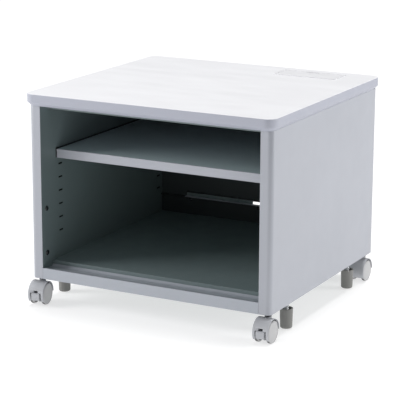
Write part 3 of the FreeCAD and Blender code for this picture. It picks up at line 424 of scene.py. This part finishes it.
def finished(shape, name, angle, turn_out=True):
    """The mesh of a bmesh, shaded smooth but for edges sharper than the angle in degrees."""
    if turn_out:
        bmesh.ops.recalc_face_normals(shape, faces=shape.faces)
    mesh = bpy.data.meshes.new(name)
    shape.to_mesh(mesh)
    shape.free()
    mesh.shade_smooth()
    mesh.set_sharp_from_angle(angle=math.radians(angle))
    return mesh


def circle(shape, middle, side, other, radius, count):
    """A ring of new vertices about a middle, in the plane of two directions."""
    ring = []
    for step in range(count):
        angle = 2 * math.pi * step / count
        spoke = side * math.cos(angle) + other * math.sin(angle)
        ring.append(shape.verts.new(middle + spoke * radius))
    return ring


def join_rings(shape, rings):
    """Faces between each two rings that follow; a ring of one vertex is a point."""
    for first, second in zip(rings, rings[1:]):
        count = max(len(first), len(second))
        for step in range(count):
            ahead = (step + 1) % count
            corners = [first[step % len(first)], first[ahead % len(first)]]
            corners += [second[ahead % len(second)], second[step % len(second)]]
            shape.faces.new(list(dict.fromkeys(corners)))


def lathe(name, place, axis, profile, steps):
    """A closed mesh turned about an axis; the profile is (along, radius) from centre to centre."""
    axis = Vector(axis).normalized()
    side = axis.orthogonal().normalized()
    other = axis.cross(side)
    shape = bmesh.new()
    rings = []
    for along, radius in profile:
        middle = Vector(place) + axis * along * MM
        count = steps if radius > 0 else 1
        rings.append(circle(shape, middle, side, other, radius * MM, count))
    join_rings(shape, rings)
    return finished(shape, name, 32)


# Across a wheel from its axle hole on the inside to the middle of its disc: (along, radius) in
# millimetres from the middle of the tread.
WHEEL_PROFILE = [
    (2.0, 0.0), (2.0, 2.55), (-3.6, 2.55), (-3.9, 2.8), (-3.9, 6.0), (-3.6, 6.3),
    (-1.4, 6.9), (-1.2, 7.4), (-1.2, 15.6), (-1.5, 16.2), (-3.6, 16.8), (-3.9, 17.2),
    (-3.9, 17.6), (-3.5, 18.7), (-2.7, 19.5), (-1.8, 19.9), (-1.2, 20.0), (1.2, 20.0),
    (1.9, 19.85), (2.7, 19.3), (3.2, 18.6), (3.4, 17.9), (3.35, 17.6), (3.1, 17.4),
    (3.05, 17.2), (3.2, 17.0), (3.35, 16.0), (3.6, 12.5), (3.78, 9.0), (3.87, 5.0), (3.9, 0.0),
]


def make_wheels():
    """Eight nylon wheels: rounded tread, a groove within the rim and a faintly domed disc."""
    for joint in frame["record"]["behaviour"]["joints"]:
        body = joint["child"]
        if not body.endswith("_wheel"):
            continue
        outward = Vector(joint["axis"]) * (-1 if "_left_wheel" in body else 1)
        mesh = lathe(body, joint["pos_m"], outward, WHEEL_PROFILE, steps=72)
        node = body.replace("_left_wheel", "_caster_left_wheel")
        node = node.replace("_right_wheel", "_caster_right_wheel")
        new_piece(body + "_turned", body, "wheel_plastic", mesh, [node])


def make_studs():
    """Levelling studs with a real helical thread of 1.25 mm pitch."""
    pitch, depth, point, around, per_turn = 1.25, 0.62, 0.5, 28, 6
    for corner in CORNERS:
        node = corner + "_foot_stud"
        low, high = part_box(node)
        middle_x, middle_y = (low[0] + high[0]) / 2, (low[1] + high[1]) / 2
        crest = (high[0] - low[0]) / 2 / MM - 0.01
        length = (high[2] - low[2]) / MM
        rows = int(length / pitch * per_turn)
        shape = bmesh.new()
        rings = []
        for row in range(rows + 1):
            along = length * row / rows
            taper = min(1.0, min(along, length - along) / pitch)
            ring = []
            for step in range(around):
                phase = (along / pitch - step / around) % 1.0
                groove = abs(2 * phase - 1)
                radius = (crest - depth * groove - (1 - taper) * point) * MM
                angle = 2 * math.pi * step / around
                x = middle_x + math.cos(angle) * radius
                y = middle_y + math.sin(angle) * radius
                ring.append(shape.verts.new((x, y, low[2] + along * MM)))
            rings.append(ring)
        join_rings(shape, rings)
        shape.faces.new(rings[0][::-1])
        shape.faces.new(rings[-1])
        mesh = finished(shape, node + "_thread", 40, turn_out=False)
        new_piece(node + "_thread", node, "zinc_steel", mesh, [node])


def add_screw(shape, place, axis, radius, height, shank_length):
    """Add a screw: domed head with a cross recess on a plain shank, in millimetres."""
    side = axis.orthogonal().normalized()
    other = axis.cross(side)
    rows = [(radius * row / HEAD_ROWS, None) for row in range(HEAD_ROWS + 1)]
    rows += [(SHANK_RADIUS, 0.0), (SHANK_RADIUS, -shank_length), (0.0, -shank_length)]
    last = None
    for reach, level in rows:
        ring = []
        for step in range(SCREW_SPOKES):
            if ring and reach == 0:
                ring.append(ring[0])
                continue
            angle = 2 * math.pi * (step + 0.5) / SCREW_SPOKES
            x, y = reach * math.cos(angle), reach * math.sin(angle)
            rise = level
            if level is None:
                share = reach / radius
                rise = height * math.sqrt(max(0.0, 1 - share ** 2))
                if min(abs(x), abs(y)) < radius * ARM_HALF_WIDTH and share < ARM_REACH:
                    rise -= height * (RECESS_DEPTH - RECESS_SLOPE * share)
            ring.append(shape.verts.new(place + (side * x + other * y + axis * rise) * MM))
        if last:
            for step in range(SCREW_SPOKES):
                ahead = (step + 1) % SCREW_SPOKES
                corners = [last[step], ring[step], ring[ahead], last[ahead]]
                shape.faces.new(list(dict.fromkeys(corners)))
        last = ring


def islands(mesh):
    """The boxes of a mesh's separate solids, as lowest and highest corners."""
    shape = bmesh.new()
    shape.from_mesh(mesh)
    bmesh.ops.remove_doubles(shape, verts=shape.verts, dist=SAME_PLACE)
    seen, boxes = set(), []
    for start in shape.verts:
        if start in seen:
            continue
        seen.add(start)
        stack, spots = [start], []
        while stack:
            vertex = stack.pop()
            spots.append(vertex.co.copy())
            for edge in vertex.link_edges:
                other = edge.other_vert(vertex)
                if other not in seen:
                    seen.add(other)
                    stack.append(other)
        low = Vector(min(spot[i] for spot in spots) for i in range(3))
        high = Vector(max(spot[i] for spot in spots) for i in range(3))
        boxes.append((low, high))
    shape.free()
    return boxes


def make_screws():
    """Cross-recessed dome screws in the liners and in the rail under the back panel."""
    for node, (along, head) in SCREW_GROUPS.items():
        across = 1 - along
        shape = bmesh.new()
        for low, high in islands(nodes[node].data):
            middle = (low + high) / 2
            radius = (high[across] - low[across]) / 2 / MM
            axis = Vector((0.0, 0.0, 0.0))
            if along == 0:
                axis.x = -1.0 if middle.x > 0 else 1.0
            else:
                axis.y = -1.0
            length = (high[along] - low[along]) / MM - head
            outer = high[along] if axis[along] > 0 else low[along]
            place = middle.copy()
            place[along] = outer - axis[along] * head * MM
            add_screw(shape, place, axis, radius, head, length)
        mesh = finished(shape, node + "_crossed", 35)
        new_piece(node + "_crossed", "cabinet", "dark_steel", mesh, [node])


def make_front_rail():
    """The folded front rail again, with the shallow gutter that is pressed along its ledge."""
    low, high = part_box("front_rail")
    start, depth = low[1] + GUTTER_RIM, high[1] - low[1] - GUTTER_RIM
    shape = bmesh.new()
    shape.from_mesh(nodes["front_rail"].data)
    bmesh.ops.remove_doubles(shape, verts=shape.verts, dist=SAME_PLACE)
    for line in range(GUTTER_LINES + 1):
        bmesh.ops.bisect_plane(
            shape,
            geom=shape.verts[:] + shape.edges[:] + shape.faces[:],
            plane_co=(0, start + depth * line / GUTTER_LINES, 0),
            plane_no=(0, 1, 0),
        )
    for vertex in shape.verts:
        share = (vertex.co.y - start) / depth
        if vertex.co.z > high[2] - LEDGE_SHEET and 0 < share < 1:
            slope = math.sin(math.pi / 2 * share / GUTTER_TURN) if share < GUTTER_TURN else 1.0
            upstand = max(0.0, (share - GUTTER_TURN) / (1 - GUTTER_TURN))
            vertex.co.z -= GUTTER_DEPTH * (slope - upstand)
    mesh = finished(shape, "front_rail_pressed", 30, turn_out=False)
    piece = new_piece("front_rail_pressed", "cabinet", "shell_paint", mesh, ["front_rail"])
    soften(piece, RAIL_EDGE)


def make_seam_beads():
    """Near-black beads in the seams of the back wall and at the ends of its gap: painted shade
    that keeps these seams dark.
    """
    tray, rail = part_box("bottom_tray"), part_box("back_lower_rail")
    panel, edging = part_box("back_panel"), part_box("back_gap_edging")
    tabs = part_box("back_gap_tabs")
    inner, gap_end, back = rail[1][0], edging[1][0], tray[1][1]
    seam_z = (rail[1][2] + panel[0][2]) / 2
    foot, top = tray[1][2], panel[1][2] - BEAD_TOP_GAP
    tab_y, tab_foot, tab_top = tabs[0][1], rail[1][2], tabs[1][2] + BEAD_OVER_TABS
    runs = [((-inner, back, foot), (inner, back, foot), BEAD_RADIUS)]
    for side in (-1, 1):
        edge, gap, end = side * inner, side * gap_end, side * (gap_end + BEAD_PAST_EDGING)
        runs.append(((edge, back, foot), (edge, back, top), BEAD_RADIUS))
        runs.append(((gap, back, seam_z), (edge, back, seam_z), BEAD_RADIUS))
        runs.append(((end, tab_y, tab_foot), (end, tab_y, tab_top), TAB_BEAD_RADIUS))
    shape = bmesh.new()
    for start, stop, radius in runs:
        start, stop = Vector(start), Vector(stop)
        along = (stop - start).normalized()
        side = along.orthogonal().normalized()
        other = along.cross(side)
        count = max(2, int((stop - start).length / BEAD_STEP))
        rings = []
        for step in range(count + 1):
            middle = start.lerp(stop, step / count)
            waver = 1 + 0.08 * math.sin(step * 1.7) + 0.06 * math.sin(step * 0.6)
            rings.append(circle(shape, middle, side, other, radius * waver, BEAD_SPOKES))
        join_rings(shape, rings)
        shape.faces.new(rings[0])
        shape.faces.new(rings[-1])
    # The beads' near-black colour is painted shade in the back corners.
    mesh = finished(shape, "seam_shade_beads", 60)
    new_piece("seam_shade_beads", "cabinet", "lining_paint", mesh)


def prism(shape, outline, front, back):
    """Add a bar that runs front to back; its outline is (x, z) in metres."""
    ends = []
    for y in (front, back):
        ends.append([shape.verts.new((x, y, z)) for x, z in outline])
    for corner in range(len(outline)):
        ahead = (corner + 1) % len(outline)
        shape.faces.new((ends[0][corner], ends[0][ahead], ends[1][ahead], ends[1][corner]))
    shape.faces.new(ends[0])
    shape.faces.new(ends[1])


def make_shelf_profiles():
    """Near-black profiles along the two sides of the shelf, hooked over its edge: painted shade
    for the shadow gap between shelf and liner.
    """
    low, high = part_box("shelf_panel")
    trim_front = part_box("shelf_front_trim")[0][1]
    clips_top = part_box("shelf_clips")[1][2] + 0.1 * MM
    edge, top, foot = high[0], high[2], low[2] + 0.4 * MM
    seat, shoulder, crown = top + PROFILE_SEAT, top + PROFILE_SHOULDER, top + PROFILE_CROWN
    # Out from the shelf's edge in millimetres, and height. The long leg ends above the clips.
    hook = [
        (-1.6, seat), (-1.6, shoulder), (-1.2, crown), (0.8, crown),
        (1.25, shoulder), (1.25, clips_top), (0.05, clips_top), (0.05, seat),
    ]
    cap = [
        (-1.0, foot), (-1.0, top), (-0.6, crown), (0.8, crown), (1.25, shoulder), (1.25, foot),
    ]
    shape = bmesh.new()
    for side in (-1, 1):
        outline = [(side * (edge + out * MM), z) for out, z in hook]
        prism(shape, outline, trim_front, high[1])
        outline = [(side * (edge + out * MM), z) for out, z in cap]
        prism(shape, outline, trim_front - CAP_START, trim_front - CAP_END)
    # Painted shade: the profiles' near-black stands for the shadow gap beside the shelf.
    mesh = finished(shape, "shelf_gap_shade_profiles", 40)
    new_piece("shelf_gap_shade_profiles", "shelf", "lining_paint", mesh)


def make_slot_backing():
    """Near-black strips inside the double walls, behind the columns of shelf slots: painted shade
    for the dark hollow seen through the slots.
    """
    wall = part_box("left_inner_panel")
    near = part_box("shelf_clips")[1][0] + BACKING_GAP
    low = wall[0][2] + BACKING_FOOT
    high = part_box("shelf_panel")[1][2] + BACKING_OVER_SHELF
    # Out from the near face in millimetres, and height.
    section = [
        (0.3, low), (0.0, low + MM), (0.0, high - MM), (0.3, high),
        (0.6, high), (0.9, high - MM), (0.9, low + MM), (0.6, low),
    ]
    shape = bmesh.new()
    for side in (-1, 1):
        outline = [(side * (near + out * MM), z) for out, z in section]
        for middle in SLOT_COLUMNS:
            rear = min(middle + BACKING_BEHIND, wall[1][1] - BACKING_CLEAR)
            prism(shape, outline, middle - BACKING_AHEAD, rear)
    # Painted shade: the strips' near-black stands for the hollow behind the slots.
    mesh = finished(shape, "slot_shade_backing", 40)
    new_piece("slot_shade_backing", "cabinet", "lining_paint", mesh)


def make_cable_brush():
    """Two staggered rows of pale bristles that fill the notch in the cable slot cover."""
    low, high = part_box("cable_slot_cover")
    root = high[1] - NOTCH_DEPTH - BRISTLE_GAP
    tip = high[1] - BRISTLE_GAP
    side, other = Vector((1, 0, 0)), Vector((0, 0, 1))
    shape = bmesh.new()
    for row, z in enumerate((low[2] + BRISTLE_INSET, high[2] - BRISTLE_INSET)):
        for place in range(BRISTLES):
            across = (place + 0.5 + 0.25 * row) / (BRISTLES + 0.5)
            x = NOTCH_CENTRE + (across - 0.5) * (NOTCH_WIDTH - 2 * BRISTLE_MARGIN)
            lean = BRISTLE_LEAN * math.sin(place * 2.3 + row)
            ends = (Vector((x, root, z)), Vector((x + lean, tip, z + 0.3 * lean)))
            rings = []
            for end, radius in zip(ends, (BRISTLE_ROOT, BRISTLE_TIP)):
                rings.append(circle(shape, end, side, other, radius, BRISTLE_SPOKES))
            join_rings(shape, rings)
            shape.faces.new(rings[0])
            shape.faces.new(rings[1])
    mesh = finished(shape, "cable_brush", 50)
    new_piece("cable_brush", "slot_cover", "frame_plastic", mesh)


make_camera()
make_studio()
finish_cad_nodes()
make_wheels()
make_studs()
make_screws()
make_front_rail()
make_seam_beads()
make_cable_brush()
make_shelf_profiles()
make_slot_backing()
